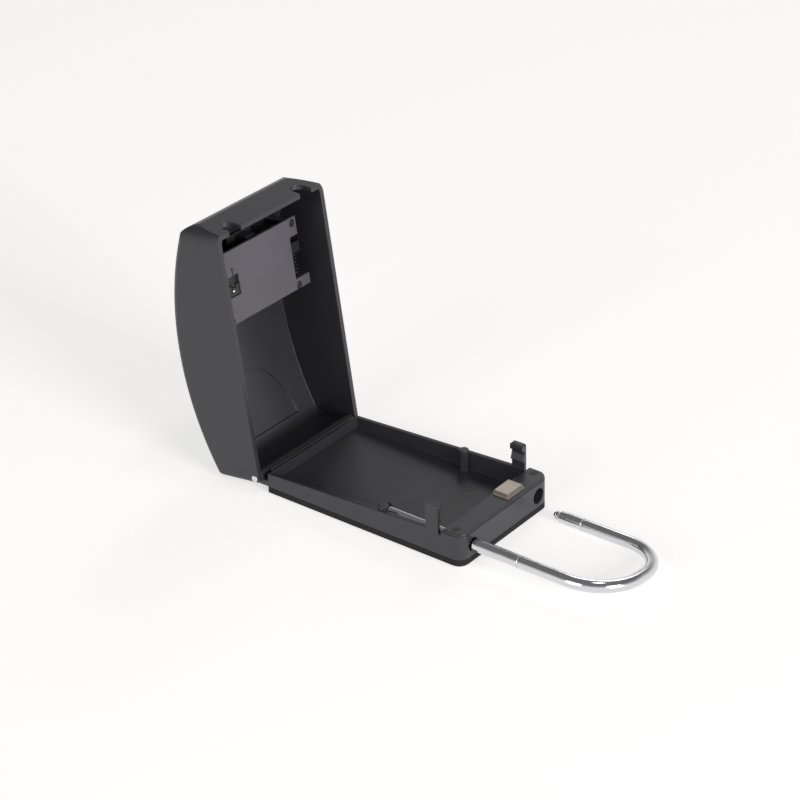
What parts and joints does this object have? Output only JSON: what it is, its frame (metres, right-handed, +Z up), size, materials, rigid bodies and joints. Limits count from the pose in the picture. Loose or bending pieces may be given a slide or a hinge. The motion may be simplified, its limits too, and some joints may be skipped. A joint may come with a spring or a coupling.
{
  "type": "padlock key safe",
  "caption": "Padlock key safe lying open: hinged cover with number dials behind a sliding shutter, tray with hook posts, and a swivelling shackle that slides into the tray",
  "frame": {"origin": "centre of the rubber pad's underside, under the tray", "axes": "+X from the hinge to the shackle, +Y to the free leg's side, +Z up out of the tray"},
  "size_m": [0.3182, 0.0992, 0.1708],
  "materials": {
    "brass_wheel": "machined brass",
    "bumper_rubber": "matt",
    "cast_cover": "satin black powder coat",
    "chrome_bar": "bright chrome plate",
    "dial_plastic": "moulded",
    "lock_nickel": "brushed nickel",
    "nylon": "black nylon",
    "pin_steel": "turned steel",
    "plate_plastic": "fine moulded texture",
    "powder_coat": "satin black powder coat",
    "rubber_pad": "matt black rubber",
    "screw_black": "black oxide",
    "spring_steel": "spring steel",
    "zinc_steel": "zinc plated"
  },
  "bodies": {
    "tray": {"base_tray": "powder_coat", "rubber_base_pad": "rubber_pad", "deck_plate": "powder_coat", "deck_screws": "screw_black", "hinge_pin": "pin_steel"},
    "cover": {"cover_shell": "cast_cover", "mechanism_plate": "plate_plastic", "mechanism_screws": "screw_black", "dial_panel": "dial_plastic", "dial_frame": "zinc_steel", "dial_spindle": "pin_steel", "spindle_clips": "spring_steel", "detent_spring": "spring_steel", "detent_screws": "zinc_steel", "latch_guide_rivets": "pin_steel", "latch_springs": "spring_steel"},
    "latch": {"latch_plate": "screw_black", "open_button": "dial_plastic", "button_screw": "zinc_steel"},
    "reset": {"reset_lever": "dial_plastic", "reset_lever_rivet": "pin_steel"},
    "shutter": {"dial_shutter": "dial_plastic"},
    "lock": {"shackle_lock_slider": "lock_nickel", "shackle_lock_bolt": "zinc_steel", "shackle_lock_screw": "zinc_steel"},
    "shackle_bumper_ring": {"shackle_bumper": "bumper_rubber"},
    "shackle_washer_ring": {"shackle_washer": "nylon"},
    "shackle_clip_ring": {"shackle_clip": "spring_steel"},
    "shackle_bar": {"shackle": "chrome_bar"},
    "dial_1": {"dial_wheel_1": "brass_wheel", "dial_cam_1": "zinc_steel"},
    "dial_2": {"dial_wheel_2": "brass_wheel", "dial_cam_2": "zinc_steel"},
    "dial_3": {"dial_wheel_3": "brass_wheel", "dial_cam_3": "zinc_steel"},
    "dial_4": {"dial_wheel_4": "brass_wheel", "dial_cam_4": "zinc_steel"}
  },
  "joints": [
    {"name": "cover_hinge", "type": "hinge", "parent": "tray", "child": "cover", "pos_m": [-0.08245, 0, 0.00973], "axis": [0, -1, 0], "range_deg": [-97.8, 0]},
    {"name": "latch_slide", "type": "slide", "parent": "cover", "child": "latch", "axis": [0.1357, 0, -0.9907], "range_m": [0, 0.0065], "stiffness_N_per_m": 300, "springref_m": -0.003, "deforming": ["latch_springs"]},
    {"name": "reset_slide", "type": "slide", "parent": "cover", "child": "reset", "axis": [-0.1357, 0, 0.9907], "range_m": [0, 0.006]},
    {"name": "dial_1_turn", "type": "hinge", "parent": "cover", "child": "dial_1", "pos_m": [-0.12813, -0.0195, 0.11571], "axis": [0, 1, 0], "continuous": true},
    {"name": "dial_2_turn", "type": "hinge", "parent": "cover", "child": "dial_2", "pos_m": [-0.12813, -0.0065, 0.11571], "axis": [0, 1, 0], "continuous": true},
    {"name": "dial_3_turn", "type": "hinge", "parent": "cover", "child": "dial_3", "pos_m": [-0.12813, 0.0065, 0.11571], "axis": [0, 1, 0], "continuous": true},
    {"name": "dial_4_turn", "type": "hinge", "parent": "cover", "child": "dial_4", "pos_m": [-0.12813, 0.0195, 0.11571], "axis": [0, 1, 0], "continuous": true},
    {"name": "shutter_slide", "type": "hinge", "parent": "cover", "child": "shutter", "pos_m": [0.0531, 0, 0.10501], "axis": [0, -1, 0], "range_deg": [0, 12.9]},
    {"name": "lock_slide", "type": "slide", "parent": "tray", "child": "lock", "axis": [0, 1, 0], "range_m": [0, 0.004]},
    {"name": "shackle_approach", "type": "slide", "parent": "tray", "child": "shackle_bumper_ring", "axis": [1, 0, 0], "range_m": [-0.0157, 0]},
    {"name": "shackle_lift", "type": "hinge", "parent": "shackle_bumper_ring", "child": "shackle_washer_ring", "pos_m": [0.07175, -0.0334, 0.0122], "axis": [1, 0, 0], "range_deg": [0, 7.02]},
    {"name": "shackle_insert", "type": "slide", "parent": "shackle_washer_ring", "child": "shackle_clip_ring", "axis": [1, 0, 0], "range_m": [-0.0123, 0]},
    {"name": "shackle_swivel", "type": "hinge", "parent": "shackle_clip_ring", "child": "shackle_bar", "pos_m": [0.07175, -0.0334, 0.0122], "axis": [1, 0, 0], "continuous": true}
  ],
  "couplings": [
    {"joint": "shackle_lift", "follows": "shackle_approach", "rad_per_m": -7.7905}
  ]
}
